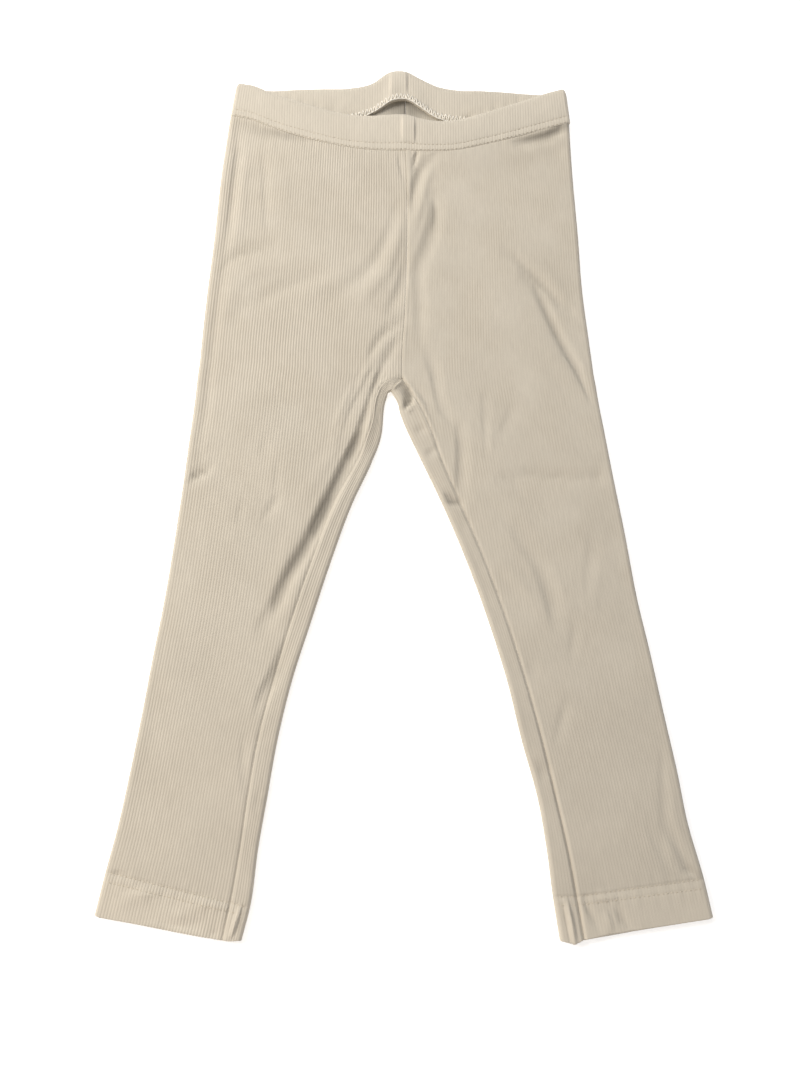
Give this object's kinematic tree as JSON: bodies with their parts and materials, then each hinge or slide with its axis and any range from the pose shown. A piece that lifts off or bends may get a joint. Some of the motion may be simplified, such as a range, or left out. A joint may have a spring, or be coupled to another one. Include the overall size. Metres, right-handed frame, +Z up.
{
  "type": "child's rib-knit leggings lying flat",
  "caption": "Child's slim leggings in cream rib knit, lying flat on their back with a wide elastic waistband, one-piece legs and turned-up hems.",
  "frame": {"origin": "middle of the laid garment's outline, on the surface that it lies on", "axes": "+Z up from the surface, +Y along the garment towards the waist, +X towards the wearer's left leg"},
  "size_m": [0.362, 0.574, 0.0071],
  "materials": {
    "jersey": "matt fine rib-knit jersey, soft, warm cream",
    "band_jersey": "the same rib-knit jersey, doubled over flat elastic"
  },
  "bodies": {
    "root": {"leg_right": "jersey", "leg_left": "jersey", "waistband": "band_jersey"}
  },
  "joints": []
}
